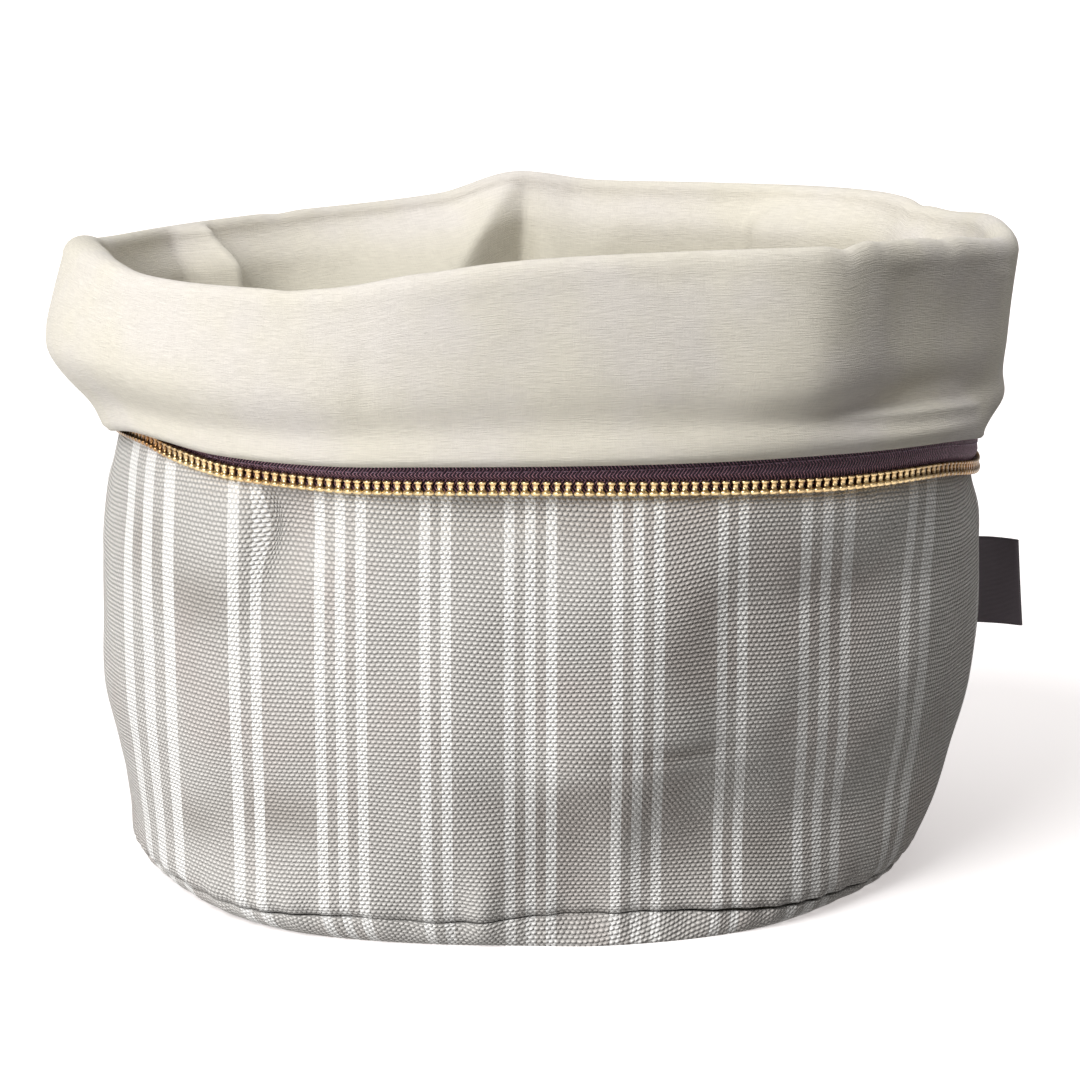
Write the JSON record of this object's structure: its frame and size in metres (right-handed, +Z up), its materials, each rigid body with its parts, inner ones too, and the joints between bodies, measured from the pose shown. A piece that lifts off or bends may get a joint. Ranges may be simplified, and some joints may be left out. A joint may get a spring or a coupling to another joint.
{
  "type": "bread warmer bag",
  "caption": "Round fabric bread bag of striped canvas, its mouth turned down into a wide cream cuff over a row of zip teeth.",
  "frame": {"origin": "middle of the flat underside, on the surface the bag stands on", "axes": "+Z up, -Y the front as seen in use, +X towards the side seam with the label"},
  "size_m": [0.2405, 0.2186, 0.165],
  "materials": {
    "striped_canvas": "coarse duck weave with white stripes",
    "cream_cotton": "plain cotton weave",
    "plum_tape": "woven tape",
    "brass": "worn polish",
    "dark_ribbon": "satin ribbon"
  },
  "bodies": {
    "root": {"canvas_wall": "striped_canvas", "canvas_base": "striped_canvas", "lining_cuff": "cream_cotton", "lining_floor": "cream_cotton", "zip_tape": "plum_tape", "zip_teeth": "brass", "label": "dark_ribbon"}
  },
  "joints": []
}
